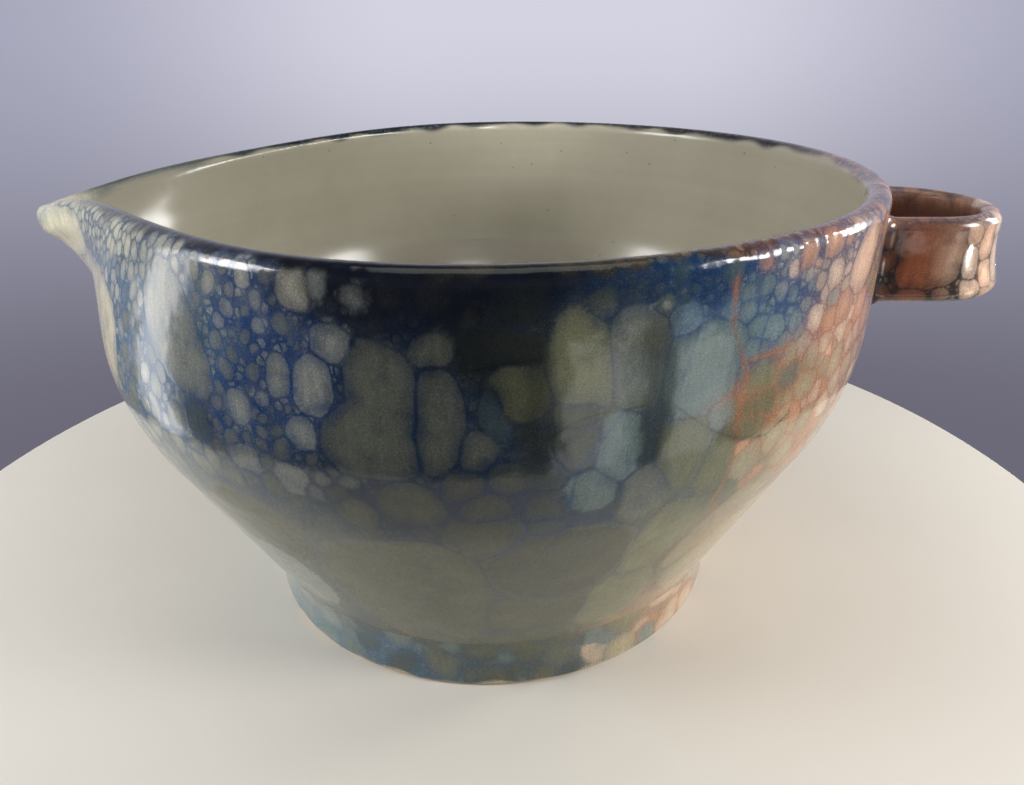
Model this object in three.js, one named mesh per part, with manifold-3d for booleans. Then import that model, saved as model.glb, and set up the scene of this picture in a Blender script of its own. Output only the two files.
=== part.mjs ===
// Pouring bowl: thrown stoneware with a pulled spout, a foot ring and a strap handle.
// Millimetres, +Z up. The spout points along -X and the handle along +X.
import * as THREE from "three";
import { mergeVertices } from "three/addons/utils/BufferGeometryUtils.js";
import Module from "manifold-3d";

// Bowl, measured over the glaze
const rimRadius = 102;
const bowlHeight = 122;
const wallThickness = 6;
const shoulderHeight = 91;
const shoulderRound = 60;
const creaseRadius = 71.8;
const creaseHeight = 17;
const floorHeight = 16;
const floorRound = 40;
const undersideHeight = 8;

// Glaze coats: the outer one laps over the rim and a little way down the inside
const glazeThickness = 0.9;
const rimLap = 2.5;

// Spout, pulled from the rim: angles are in radians from the spout's own direction
const spoutReach = 128.5;
const spoutSpread = 0.205;
const spoutSwell = 3;
const dipDepth = 8.3;
const dipSpread = 0.17;
const lipDroop = 3;
const lipSharpness = 1.5;
const throatHeight = 55;
const pinchHeight = 80;
const pinchDepth = 7.3;
const pinchAngle = 0.767;
const pinchSpread = 0.495;
const slumpDepth = 3.8;
const slumpSpread = 0.725;
const throatPower = 1.8;

// Foot ring
const footTaper = 2.4;
const footWidth = 8.5;
const footEdge = 1.5;

// Strap handle: a level loop hung below the rim by a drop and a share of the upright wall, with coils
// of clay smoothed round its two roots
const handleReach = 142.2;
const handleWidth = 46.5;
const handleDrop = 7.7;
const handleShare = 0.1;
const strapHeight = 22;
const strapThickness = 5.5;
const strapHollow = 0.8;
const strapLean = 4.4;
const luteRound = 4.5;
const luteEdge = 1;

// Space between neighbouring solids
const clearance = 0.3;

// Points of an outline nearer than this are one point
const samePlace = 1e-6;

// Facets: the sides of a turned piece crowd towards the spout
const sides = 56;
const crowding = 0.4;
const coneSteps = 2;
const shoulderSteps = 4;
const wallSteps = 4;
const rimSteps = 6;
const floorSteps = 4;
const footSteps = 2;
const strapSteps = 30;
const strapCurveSteps = 4;
const luteSteps = 4;
const luteArcSteps = 6;

// Sizes that follow from those above
const rimRound = wallThickness / 2;
const lipLevel = bowlHeight - rimRound;
const lapLevel = lipLevel - rimLap;
const clayInset = glazeThickness + clearance;
const footRadius = creaseRadius - footTaper;
const footBore = footRadius - footWidth;
const strapTop = bowlHeight - handleDrop - handleShare * (lipLevel - shoulderHeight);
const strapBottom = strapTop - strapHeight;
const strapMiddle = (strapTop + strapBottom) / 2;
const loopRadius = (handleWidth - strapThickness) / 2;
const edgeLean = (strapLean * (strapHeight - strapThickness)) / (2 * strapHeight);
const bendX = handleReach - edgeLean - handleWidth / 2;

const wasm = await Module();
wasm.setup();

// Profile of the wall, in (radius, height)

// The shoulder's arc is centred here. The cone of the belly runs from the crease to touch it.
const shoulderCentre = new THREE.Vector2(rimRadius - shoulderRound, shoulderHeight);
const crease = new THREE.Vector2(creaseRadius, creaseHeight);
const toCrease = crease.clone().sub(shoulderCentre);
const coneAngle = toCrease.angle() - 2 * Math.PI + Math.acos(shoulderRound / toCrease.length());
const coneOut = new THREE.Vector2(Math.cos(coneAngle), Math.sin(coneAngle));
const coneUp = new THREE.Vector2(-coneOut.y, coneOut.x);
const shoulderFoot = shoulderCentre.clone().addScaledVector(coneOut, shoulderRound);

// The floor's round touches the inner cone and the floor
const innerShoulderFoot = shoulderFoot.clone().addScaledVector(coneOut, -wallThickness);
const floorCentre = innerShoulderFoot.clone().addScaledVector(coneOut, -floorRound);
const floorShift = (floorHeight + floorRound - floorCentre.y) / coneUp.y;
floorCentre.addScaledVector(coneUp, floorShift);

function arc(centre, radius, from, to, steps) {
  const points = [];
  for (let i = 0; i <= steps; i += 1) {
    const angle = from + ((to - from) * i) / steps;
    points.push(new THREE.Vector2(Math.cos(angle), Math.sin(angle)).multiplyScalar(radius).add(centre));
  }
  return points;
}

function line(from, to, steps) {
  const points = [];
  for (let i = 0; i <= steps; i += 1) {
    points.push(from.clone().lerp(to, i / steps));
  }
  return points;
}

// Where the cone, moved in by an inset, is at a height
function coneAt(inset, height) {
  const start = crease.clone().addScaledVector(coneOut, -inset);
  return start.addScaledVector(coneUp, (height - start.y) / coneUp.y);
}

// Upright wall at a radius, with a step at the glaze's lap, from the shoulder up to the rim's round
function upright(radius) {
  const low = new THREE.Vector2(radius, shoulderHeight);
  const lap = new THREE.Vector2(radius, lapLevel);
  return [...line(low, lap, wallSteps), new THREE.Vector2(radius, lipLevel)];
}

// Outside of the bowl from a point on the cone up to the rim's round
function outside(inset, start) {
  const shoulder = arc(shoulderCentre, shoulderRound - inset, coneAngle, 0, shoulderSteps);
  return [...line(start, shoulder[0], coneSteps), ...shoulder, ...upright(rimRadius - inset)];
}

// Round of the rim, from the outside over to the inside
function rim(inset) {
  const centre = new THREE.Vector2(rimRadius - rimRound, lipLevel);
  return arc(centre, rimRound - inset, 0, Math.PI, rimSteps);
}

// Inside of the bowl from the top of the wall down to the middle of the floor
function inside(inset, topLevel) {
  const radius = shoulderRound - wallThickness + inset;
  const wall = upright(rimRadius - wallThickness + inset).reverse();
  const below = wall.filter((point) => point.y < topLevel);
  const start = new THREE.Vector2(rimRadius - wallThickness + inset, topLevel);
  const shoulder = arc(shoulderCentre, radius, 0, coneAngle, shoulderSteps);
  const floor = arc(floorCentre, floorRound + inset, coneAngle, -Math.PI / 2, floorSteps);
  const middle = new THREE.Vector2(0, floorHeight - inset);
  return [start, ...below, ...shoulder, ...line(shoulder.at(-1), floor[0], coneSteps), ...floor, middle];
}

// Spout

// A round hump or, with a power under 2, a pointed one, 1 high at angle 0
function hump(angle, spread, power) {
  return Math.exp(-(Math.abs(angle / spread) ** power));
}

// How much of the pull reaches a height: none below its start, all at the rim's round
function rise(height, start) {
  return Math.max(0, (height - start) / (lipLevel - start)) ** throatPower;
}

const pinchAtSpout = pinchDepth * hump(pinchAngle, pinchSpread, 2);
const spoutPull = spoutReach - rimRadius - spoutSwell / 2 + pinchAtSpout;

// Moves a point of the turned bowl to where the pulled rim carries it
function pull(point) {
  const radius = Math.hypot(point.x, point.y);
  const even = Math.atan2(point.y, -point.x);
  const angle = even - crowding * Math.sin(even);
  const throat = rise(point.z, throatHeight);
  const spout = throat * hump(angle, spoutSpread, lipSharpness);
  const dip = throat * hump(angle, dipSpread, lipSharpness);
  const slump = throat * hump(angle, slumpSpread, 2);
  const pinch = rise(point.z, pinchHeight) * hump(Math.abs(angle) - pinchAngle, pinchSpread, 2);
  const depth = (radius - (rimRadius - wallThickness / 2)) / wallThickness;
  const pulled = radius + spout * (spoutPull + depth * spoutSwell) - pinch * pinchDepth;
  point.z -= dip * (dipDepth + depth * lipDroop) + slump * slumpDepth;
  point.x = -pulled * Math.cos(angle);
  point.y = pulled * Math.sin(angle);
  return point;
}

// Solids

// Joins shared corners and leaves out the empty faces at the axis
function closed(geometry) {
  geometry.deleteAttribute("normal");
  geometry.deleteAttribute("uv");
  const merged = mergeVertices(geometry);
  const corners = [...merged.index.array];
  const kept = [];
  for (let i = 0; i < corners.length; i += 3) {
    const face = corners.slice(i, i + 3);
    if (new Set(face).size === 3) {
      kept.push(...face);
    }
  }
  merged.setIndex(kept);
  return merged;
}

function toSolid(geometry) {
  const vertProperties = new Float32Array(geometry.attributes.position.array);
  const triVerts = new Uint32Array(geometry.index.array);
  return new wasm.Manifold(new wasm.Mesh({ numProp: 3, vertProperties, triVerts }));
}

function toGeometry(solid) {
  const mesh = solid.getMesh();
  const geometry = new THREE.BufferGeometry();
  geometry.setAttribute("position", new THREE.BufferAttribute(mesh.vertProperties, 3));
  geometry.setIndex(new THREE.BufferAttribute(mesh.triVerts, 1));
  return geometry;
}

// Splits each face alike on the rising and the falling side of a wall, so that coats stay apart
function splitAlike(lathe) {
  const places = lathe.attributes.position;
  const corners = [...lathe.index.array];
  const faces = [];
  for (let i = 0; i < corners.length; i += 6) {
    const [a, b, d, c] = corners.slice(i, i + 4);
    const falling = places.getY(d) < places.getY(a);
    faces.push(...(falling ? [a, b, c, a, c, d] : [a, b, d, c, d, b]));
  }
  lathe.setIndex(faces);
  return lathe;
}

// Turns a profile round the bowl's axis and gives it the spout
function turned(profile) {
  const distinct = profile.filter((point, i) => i === 0 || point.distanceTo(profile[i - 1]) > samePlace);
  const lathe = splitAlike(new THREE.LatheGeometry(distinct, sides));
  const geometry = closed(lathe.rotateX(Math.PI / 2));
  const places = geometry.attributes.position;
  const place = new THREE.Vector3();
  for (let i = 0; i < places.count; i += 1) {
    pull(place.fromBufferAttribute(places, i));
    places.setXYZ(i, place.x, place.y, place.z);
  }
  return geometry;
}

// Rings of as many points each, joined side by side and closed by a fan at each end
function lofted(rings) {
  const count = rings[0].length;
  const middles = [rings[0], rings.at(-1)].map((ring) => {
    const sum = ring.reduce((total, point) => total.add(point), new THREE.Vector3());
    return sum.divideScalar(count);
  });
  const faces = [];
  const first = rings.length * count;
  for (let i = 0; i < count; i += 1) {
    const next = (i + 1) % count;
    for (let k = 0; k < rings.length - 1; k += 1) {
      const low = k * count;
      const high = low + count;
      faces.push(low + i, low + next, high + i, low + next, high + next, high + i);
    }
    const top = first - count;
    faces.push(first, next, i, first + 1, top + i, top + next);
  }
  const geometry = new THREE.BufferGeometry().setFromPoints([...rings.flat(), ...middles]);
  geometry.setIndex(faces);
  return geometry;
}

// Pieces of the bowl

// Clay wall, floor and spout in one thrown piece
function bowlBody(inset) {
  const corner = coneAt(inset, undersideHeight);
  const axis = new THREE.Vector2(0, undersideHeight);
  return turned([axis, ...outside(inset, corner), ...rim(inset), ...inside(inset, lapLevel)]);
}

// The bowl without its hollow, grown to leave the clearance that a piece cut by it needs
function trimmingBlock() {
  const inset = clayInset - clearance;
  const axis = new THREE.Vector2(0, undersideHeight);
  const crest = rim(inset).slice(0, rimSteps / 2 + 1);
  const top = new THREE.Vector2(0, bowlHeight - inset);
  return toSolid(turned([axis, ...outside(inset, coneAt(inset, undersideHeight)), ...crest, top]));
}

// Glaze over the outside, from the crease up over the rim
function outerCoat(inset) {
  const lap = new THREE.Vector2(rimRadius - wallThickness + inset, lapLevel);
  const start = crease.clone().addScaledVector(coneOut, -inset);
  return [...outside(inset, start), ...rim(inset), lap];
}

function bubbleGlaze() {
  const skin = outerCoat(0);
  const back = outerCoat(glazeThickness).reverse();
  return toSolid(turned([...skin, ...back, skin[0]]));
}

// Glaze over the inside, from under the outer coat's lap to the middle of the floor
function linerGlaze() {
  const level = lapLevel - clearance;
  return turned([...inside(glazeThickness, level).reverse(), ...inside(0, level)]);
}

// Ring that seats on the clay of the belly, under the crease
function footRing() {
  const shoulder = crease.clone().addScaledVector(coneUp, -clearance);
  const seatTop = shoulder.clone().addScaledVector(coneOut, -glazeThickness);
  const seatLevel = undersideHeight - clearance;
  const seatCorner = coneAt(glazeThickness, seatLevel);
  const base = new THREE.Vector2(footRadius, footEdge);
  const waist = new THREE.Vector2(footRadius, (footEdge + creaseHeight) / 2);
  const flank = new THREE.QuadraticBezierCurve(base, waist, shoulder).getPoints(footSteps);
  const outerCentre = new THREE.Vector2(footRadius - footEdge, footEdge);
  const innerCentre = new THREE.Vector2(footBore + footEdge, footEdge);
  const outerEdge = arc(outerCentre, footEdge, -Math.PI / 2, 0, footSteps);
  const innerEdge = arc(innerCentre, footEdge, -Math.PI, -Math.PI / 2, footSteps);
  const boreTop = new THREE.Vector2(footBore, seatLevel);
  return turned([...outerEdge, ...flank, seatTop, seatCorner, boreTop, ...innerEdge, outerEdge[0]]);
}

// Handle

// Radius of the bowl's outside at a height
function wallRadius(height) {
  if (height >= shoulderHeight) {
    return rimRadius;
  }
  if (height >= shoulderFoot.y) {
    const drop = shoulderHeight - height;
    return shoulderCentre.x + Math.sqrt(shoulderRound ** 2 - drop ** 2);
  }
  return coneAt(0, height).x;
}

function wallX(y, height) {
  return Math.sqrt(wallRadius(height) ** 2 - y ** 2);
}

// Middle line of the strap: out along one side, round the bend and back
class HandleLoop extends THREE.Curve {
  constructor() {
    super();
    this.rootX = wallX(handleWidth / 2, strapBottom) - wallThickness;
    this.side = bendX - this.rootX;
    this.bend = Math.PI * loopRadius;
  }

  getPoint(share, target = new THREE.Vector3()) {
    const along = share * (2 * this.side + this.bend);
    if (along < this.side) {
      return target.set(this.rootX + along, -loopRadius, strapMiddle);
    }
    if (along > this.side + this.bend) {
      const back = along - this.side - this.bend;
      return target.set(bendX - back, loopRadius, strapMiddle);
    }
    const turn = (along - this.side) / loopRadius - Math.PI / 2;
    return target.set(bendX + loopRadius * Math.cos(turn), loopRadius * Math.sin(turn), strapMiddle);
  }
}

// Leans the strap, so that its lower edge reaches further out, more so towards the bend
function lean(geometry) {
  const places = geometry.attributes.position;
  const rootX = wallX(handleWidth / 2, strapMiddle);
  for (let i = 0; i < places.count; i += 1) {
    const share = Math.max(0, (places.getX(i) - rootX) / (handleReach - rootX));
    const drop = (strapMiddle - places.getZ(i)) / strapHeight;
    places.setX(i, places.getX(i) + strapLean * share * drop);
  }
  return geometry;
}

// Strap with round edges and a shallow hollow along its outer face, grown by a margin
function strap(margin) {
  const half = strapThickness / 2 + margin;
  const centre = strapHeight / 2 - strapThickness / 2;
  const section = new THREE.Shape();
  section.moveTo(-centre, half);
  section.lineTo(centre, half);
  section.absarc(centre, 0, half, Math.PI / 2, -Math.PI / 2, true);
  section.quadraticCurveTo(0, 2 * strapHollow - half, -centre, -half);
  section.absarc(-centre, 0, half, -Math.PI / 2, -Math.PI * 1.5, true);
  const options = { steps: strapSteps, curveSegments: strapCurveSteps, extrudePath: new HandleLoop() };
  return toSolid(lean(closed(new THREE.ExtrudeGeometry(section, options))));
}

// Outline round one root of the strap, spread out from the strap and lifted off the wall
function rootOutline(side, spread, lift) {
  const radius = strapThickness / 2 + spread;
  const centre = strapHeight / 2 - strapThickness / 2;
  const ends = [
    arc(new THREE.Vector2(0, centre), radius, 0, Math.PI, luteArcSteps),
    arc(new THREE.Vector2(0, -centre), radius, Math.PI, 2 * Math.PI, luteArcSteps),
  ];
  return ends.flat().map((point) => {
    const y = side * loopRadius + point.x;
    const z = strapMiddle + point.y;
    return new THREE.Vector3(wallX(y, z) + lift, y, z);
  });
}

// Coil of clay round one root, hollowed to a fillet between the wall and the strap
function lute(side, cuts) {
  const rings = [rootOutline(side, luteEdge + luteRound, -wallThickness)];
  for (let i = 0; i <= luteSteps; i += 1) {
    const angle = ((Math.PI / 2) * i) / luteSteps;
    const spread = luteEdge + luteRound * (1 - Math.sin(angle));
    rings.push(rootOutline(side, spread, luteRound * (1 - Math.cos(angle))));
  }
  return cuts.reduce((solid, cut) => solid.subtract(cut), toSolid(lofted(rings)));
}

// Opening in the outer coat, where the root is luted to the clay
function window(side) {
  const spread = luteEdge + luteRound + clearance;
  const lifts = [-wallThickness, luteRound];
  return toSolid(lofted(lifts.map((lift) => rootOutline(side, spread, lift))));
}

// Assembly

const stoneware = { color: 0xc9b79a, roughness: 0.8, metalness: 0 };
const liner = { color: 0xb5ad97, roughness: 0.2, metalness: 0 };
const blueBubbles = { color: 0x5f7383, roughness: 0.2, metalness: 0 };
const terracottaBubbles = { color: 0xa86f4e, roughness: 0.2, metalness: 0 };

const pouringBowl = new THREE.Group();
pouringBowl.position.x = (spoutReach - handleReach) / 2;

function place(name, geometry, finish) {
  const mesh = new THREE.Mesh(geometry, new THREE.MeshStandardMaterial(finish));
  mesh.name = name;
  pouringBowl.add(mesh);
}

const block = trimmingBlock();
const grownStrap = strap(clearance);
const front = -1;
const back = 1;
const coat = bubbleGlaze().subtract(window(front)).subtract(window(back));

place("bowl_body", bowlBody(clayInset), stoneware);
place("liner_glaze", linerGlaze(), liner);
place("bubble_glaze", toGeometry(coat), blueBubbles);
place("foot_ring", footRing(), blueBubbles);
place("strap_handle", toGeometry(strap(0).subtract(block)), terracottaBubbles);
place("front_handle_lute", toGeometry(lute(front, [block, grownStrap])), terracottaBubbles);
place("back_handle_lute", toGeometry(lute(back, [block, grownStrap])), terracottaBubbles);

export default pouringBowl;
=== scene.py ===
# Looks of the pouring bowl: glaze coats, foot and handle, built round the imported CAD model.
# Lengths are in millimetres and angles in degrees, unless a name or a comment says otherwise.
import math
from collections import namedtuple

import bmesh
import bpy
import numpy as np
from mathutils import Matrix, Vector


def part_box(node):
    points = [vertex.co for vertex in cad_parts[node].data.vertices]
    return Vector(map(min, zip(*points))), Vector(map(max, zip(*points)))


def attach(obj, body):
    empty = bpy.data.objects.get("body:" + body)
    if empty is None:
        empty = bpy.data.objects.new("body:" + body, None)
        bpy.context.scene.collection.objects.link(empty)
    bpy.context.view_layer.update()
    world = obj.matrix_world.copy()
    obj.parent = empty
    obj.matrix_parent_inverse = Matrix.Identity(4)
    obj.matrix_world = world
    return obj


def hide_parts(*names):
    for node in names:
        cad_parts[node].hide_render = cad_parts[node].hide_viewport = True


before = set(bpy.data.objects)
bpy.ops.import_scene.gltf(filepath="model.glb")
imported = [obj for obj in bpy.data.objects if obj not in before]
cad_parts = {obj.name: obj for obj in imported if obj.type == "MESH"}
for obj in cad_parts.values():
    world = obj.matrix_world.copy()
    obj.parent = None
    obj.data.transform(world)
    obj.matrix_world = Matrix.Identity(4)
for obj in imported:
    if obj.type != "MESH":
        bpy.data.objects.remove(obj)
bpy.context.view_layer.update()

foot_low, foot_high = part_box("foot_ring")
MM = 0.001
AXIS_X = (foot_low.x + foot_high.x) / 2 / MM

# Bowl
RIM_RADIUS = 102
BOWL_HEIGHT = 122
WALL = 6
SHOULDER_HEIGHT = 91
SHOULDER_ROUND = 60
CREASE_RADIUS = 71.8
CREASE_HEIGHT = 17
FLOOR_HEIGHT = 16
FLOOR_ROUND = 40
GLAZE = 0.9
RIM_LAP = 2.5
SEAT_LEVEL = 7.7

# Spout, with spreads in radians, and a lip that is fuller and lower than that of the solids
SPOUT_REACH = 128.5
SPOUT_SPREAD = 0.205
SPOUT_SWELL = 3
DIP_DEPTH = 9
DIP_SPREAD = 0.17
LIP_DROOP = 1.5
LIP_SHARPNESS = 1.5
THROAT_HEIGHT = 55
THROAT_POWER = 1.8
PINCH_HEIGHT = 80
PINCH_DEPTH = 7.3
PINCH_ANGLE = 0.767
PINCH_SPREAD = 0.495
SLUMP_DEPTH = 3.8
SLUMP_SPREAD = 0.725
CREST_SHARE = 0.85
LIP_BULGE = 2.0
BULGE_DROP = 4
BULGE_SPREAD = 3
BULGE_SHARE = 0.3

# Foot ring
FOOT_TAPER = 2.4
FOOT_WIDTH = 8.5
FOOT_EDGE = 1.5
BARE_EDGE = (0.7, 1.6)

# Strap handle
HANDLE_REACH = 142.2
HANDLE_WIDTH = 46.5
STRAP_TOP = 111.5
STRAP_HEIGHT = 22
STRAP = 5.5
STRAP_HOLLOW = 0.8
STRAP_LEAN = 4.4
ROOT_ROUND = 5.5
ROOT_SUNK = 4

# Throwing rings inside the bowl
RING_DEPTH = 0.05
RING_SPACING = 14.5
RING_LEVEL = 111
RING_START = (24, 60)
RING_END = 6

# How fine the meshes are: steps along a section, and sides or steps round it
BELLY_STEP = 1.35
UPRIGHT_STEP = 0.86
RIM_STEP = 0.7
LAP_STEP = 0.9
BACK_RIM_STEP = 3
BACK_STEP = 16
COAT_SIDES = 740
LINER_SIDES = 360
LINER_STEPS = 24
LINER_BACK_STEPS = 6
FLOOR_STEPS = 8
FOOT_SIDES = 480
FLANK_STEPS = 26
EDGE_STEPS = 6
STRAP_STEPS = 16
LEG_STEPS = 44
BEND_STEPS = 110
SHARP_ANGLE = 55

# Sizes that follow
RIM_ROUND = WALL / 2
LIP_LEVEL = BOWL_HEIGHT - RIM_ROUND
LAP_LEVEL = LIP_LEVEL - RIM_LAP
FOOT_RADIUS = CREASE_RADIUS - FOOT_TAPER
FOOT_BORE = FOOT_RADIUS - FOOT_WIDTH
STRAP_MIDDLE = STRAP_TOP - STRAP_HEIGHT / 2
LOOP_RADIUS = (HANDLE_WIDTH - STRAP) / 2
EDGE_LEAN = STRAP_LEAN * (STRAP_HEIGHT - STRAP) / (2 * STRAP_HEIGHT)
BEND_X = HANDLE_REACH - EDGE_LEAN - HANDLE_WIDTH / 2


# Section of the wall, in (radius, height)

def direction(angle):
    return Vector((math.cos(angle), math.sin(angle)))


shoulder_centre = Vector((RIM_RADIUS - SHOULDER_ROUND, SHOULDER_HEIGHT))
rim_centre = Vector((RIM_RADIUS - RIM_ROUND, LIP_LEVEL))
crease = Vector((CREASE_RADIUS, CREASE_HEIGHT))
to_crease = crease - shoulder_centre
cone_angle = math.atan2(to_crease.y, to_crease.x) + math.acos(SHOULDER_ROUND / to_crease.length)
cone_out = direction(cone_angle)
cone_up = Vector((-cone_out.y, cone_out.x))
shoulder_foot = shoulder_centre + cone_out * SHOULDER_ROUND

cone_length = (shoulder_foot - crease).length
shoulder_length = -cone_angle * SHOULDER_ROUND
upright_length = LIP_LEVEL - SHOULDER_HEIGHT
rim_length = math.pi * RIM_ROUND
shoulder_along = cone_length + shoulder_length
lip_along = shoulder_along + upright_length
lap_along = lip_along + rim_length + RIM_LAP


def skin(along, inset=0):
    """Point of the wall at a length from the crease up over the rim, moved in by an inset."""
    if along < cone_length:
        return crease + cone_up * along - cone_out * inset
    if along < shoulder_along:
        turn = cone_angle + (along - cone_length) / SHOULDER_ROUND
        return shoulder_centre + direction(turn) * (SHOULDER_ROUND - inset)
    if along < lip_along:
        return Vector((RIM_RADIUS - inset, SHOULDER_HEIGHT + along - shoulder_along))
    over = along - lip_along
    if over < rim_length:
        return rim_centre + direction(over / RIM_ROUND) * (RIM_ROUND - inset)
    return Vector((RIM_RADIUS - WALL + inset, LIP_LEVEL - over + rim_length))


def spaced(start, end, step):
    """Values from start up to, but without, end, about a step apart."""
    return [float(value) for value in np.linspace(start, end, math.ceil(abs(end - start) / step) + 1)[:-1]]


def bend(start, middle, end, count):
    """Points of a curve from start to end, drawn towards a middle point."""
    shares = [i / count for i in range(count + 1)]
    return [start * (1 - t) ** 2 + middle * (2 * t * (1 - t)) + end * t ** 2 for t in shares]


def arc(centre, radius, start, end, count):
    return [centre + direction(start + (end - start) * i / count) * radius for i in range(count + 1)]


# Spout

def ease(value, start, end):
    """0 before start, 1 after end, smooth between them."""
    share = np.clip((value - start) / (end - start), 0, 1)
    return share * share * (3 - 2 * share)


def between(value, start, end):
    """1 from a start to an end, which are each given as a soft edge."""
    return ease(value, *start) * (1 - ease(value, *end))


def hump(angle, spread, power):
    """1 at angle 0, falling away round, or pointed where the power is under 2."""
    return np.exp(-np.abs(angle / spread) ** power)


def rise(height, start):
    return np.maximum(0, (height - start) / (LIP_LEVEL - start)) ** THROAT_POWER


pinch_at_spout = PINCH_DEPTH * float(hump(PINCH_ANGLE, PINCH_SPREAD, 2))
SPOUT_PULL = SPOUT_REACH - RIM_RADIUS - SPOUT_SWELL / 2 + pinch_at_spout


def pulled(places):
    """Carries points of the turned bowl to where the pulled rim takes them."""
    x, y, z = places.T
    radius = np.hypot(x, y)
    angle = np.arctan2(y, -x)
    throat = rise(z, THROAT_HEIGHT)
    spout = throat * hump(angle, SPOUT_SPREAD, LIP_SHARPNESS)
    dip = throat * hump(angle, DIP_SPREAD, LIP_SHARPNESS)
    slump = throat * hump(angle, SLUMP_SPREAD, 2)
    pinch = rise(z, PINCH_HEIGHT) * hump(np.abs(angle) - PINCH_ANGLE, PINCH_SPREAD, 2)
    depth = (radius - (RIM_RADIUS - WALL / 2)) / WALL
    bulge = LIP_BULGE * hump(z - LIP_LEVEL + BULGE_DROP, BULGE_SPREAD, 2) * ease(depth, 0, BULGE_SHARE)
    reach = radius + spout * (SPOUT_PULL + depth * SPOUT_SWELL + bulge) - pinch * PINCH_DEPTH
    crest = CREST_SHARE * spout * np.maximum(0, z - LIP_LEVEL)
    level = z + crest - dip * (DIP_DEPTH + depth * LIP_DROOP) - slump * SLUMP_DEPTH
    return np.column_stack([-reach * np.cos(angle), reach * np.sin(angle), level])


# Meshes

def linked(name, data):
    """A new object in the scene."""
    thing = bpy.data.objects.new(name, data)
    bpy.context.scene.collection.objects.link(thing)
    return thing


def meshed(shape, name):
    mesh = bpy.data.meshes.new(name)
    shape.to_mesh(mesh)
    shape.free()
    return mesh


def outlined(points, alongs, closed=True):
    """Starts a shape with an outline, whose points keep their length along it."""
    shape = bmesh.new()
    layer = shape.verts.layers.float.new("along")
    ring = []
    for point, along in zip(points, alongs):
        corner = shape.verts.new(point)
        corner[layer] = along
        ring.append(corner)
    pairs = zip(ring, ring[1:] + ring[:1]) if closed else zip(ring, ring[1:])
    return shape, ring + [shape.edges.new(pair) for pair in pairs]


def turned(section, alongs, sides, closed=True):
    """Turns a section round the bowl's axis."""
    shape, outline = outlined([(point.x, 0, point.y) for point in section], alongs, closed)
    middle = {"cent": (0, 0, 0), "axis": (0, 0, 1), "dvec": (0, 0, 0)}
    quarter = math.pi / 2
    bmesh.ops.spin(shape, geom=outline, angle=quarter, steps=sides // 4, **middle)
    turned_part = shape.verts[:] + shape.edges[:] + shape.faces[:]
    bmesh.ops.spin(shape, geom=turned_part, angle=3 * quarter, steps=3, use_duplicate=True, **middle)
    return shape


def finished(shape, name, move):
    """Makes a mesh of a shape in millimetres, with its points moved by a function, and closes its seams."""
    bmesh.ops.remove_doubles(shape, verts=shape.verts, dist=0.0005)
    bmesh.ops.recalc_face_normals(shape, faces=shape.faces)
    for face in shape.faces:
        face.smooth = True
    mesh = meshed(shape, name)
    places = np.empty(len(mesh.vertices) * 3)
    mesh.vertices.foreach_get("co", places)
    places = move(places.reshape(-1, 3))
    shifted = (places + (AXIS_X, 0, 0)) * MM
    mesh.vertices.foreach_set("co", shifted.ravel())
    mesh.update()
    mesh.set_sharp_from_angle(angle=math.radians(SHARP_ANGLE))
    piece = linked(name, mesh)
    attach(piece, "root")
    return piece, places


def kept(mesh, name):
    """A number that each point of a mesh keeps."""
    values = np.empty(len(mesh.vertices))
    mesh.attributes[name].data.foreach_get("value", values)
    return values


def keep(mesh, name, values):
    """Gives each point of a mesh a number or three numbers of its own."""
    plain = values.ndim == 1
    layer = mesh.attributes.new(name, "FLOAT" if plain else "FLOAT_VECTOR", "POINT")
    layer.data.foreach_set("value" if plain else "vector", values.astype(np.float32).ravel())


def around(places):
    """Degrees from the spout: up to 180 through the front, and down to -180 through the back."""
    return np.degrees(np.arctan2(-places[:, 1], -places[:, 0]))


# Colours

def tone(red, green, blue):
    """A colour as it is seen, 0 to 255, as the light that it gives back."""
    seen = np.array([red, green, blue]) / 255
    return np.where(seen <= 0.04045, seen / 12.92, ((seen + 0.055) / 1.055) ** 2.4)


def solid(colour):
    return (*(float(part) for part in colour), 1.0)


CREAM = tone(246, 238, 206)
IVORY = tone(206, 205, 186)
PEARL = tone(160, 166, 158)
STONE = tone(128, 134, 124)
GREY = tone(106, 110, 99)
PUTTY = tone(100, 103, 80)
MOSS = tone(82, 87, 74)
OLIVE = tone(118, 108, 78)
SAGE = tone(130, 133, 102)
MIST = tone(130, 150, 147)
STEEL = tone(118, 146, 162)
TEAL = tone(70, 106, 136)
COBALT = tone(42, 72, 122)
HARBOUR = tone(30, 62, 100)
NAVY = tone(24, 48, 74)
DENIM = tone(42, 78, 126)
SLATE = tone(68, 89, 97)
INK = tone(3, 9, 27)
NIGHT = tone(22, 30, 32)
SHADOW = tone(46, 49, 40)
PEACH = tone(230, 203, 177)
BLUSH = tone(242, 198, 166)
SALMON = tone(218, 160, 124)
RUST = tone(182, 118, 80)
TERRACOTTA = tone(142, 82, 52)
MAROON = tone(92, 60, 52)
DUSK = tone(96, 98, 116)
SAND = tone(188, 174, 140)
GOLD = tone(164, 132, 84)
CLAY = tone(206, 190, 160)


def rows_of(kind, *rows):
    return [kind(*row) for row in rows]


# Bubbles in the glaze, packed on the unrolled surface

Bubble = namedtuple("Bubble", "around along wide tall tint lean power joined",
                    defaults=(None, 0, 2.5, False))
COAT_SEED = 7
FOOT_SEED = 19
HANDLE_SEED = 31
MIRROR_SHIFT = 2.5
MIRROR_CHANGE = 0.15
SMALL_POWER = 2.1
SMALL_LEAN = 0.3
REACH = 7
FAR = -50.0
FAR_OFF = 99.0
CHANNELS = 6
WOBBLE = 0.035
TINTED_WOBBLE = 0.05

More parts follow.
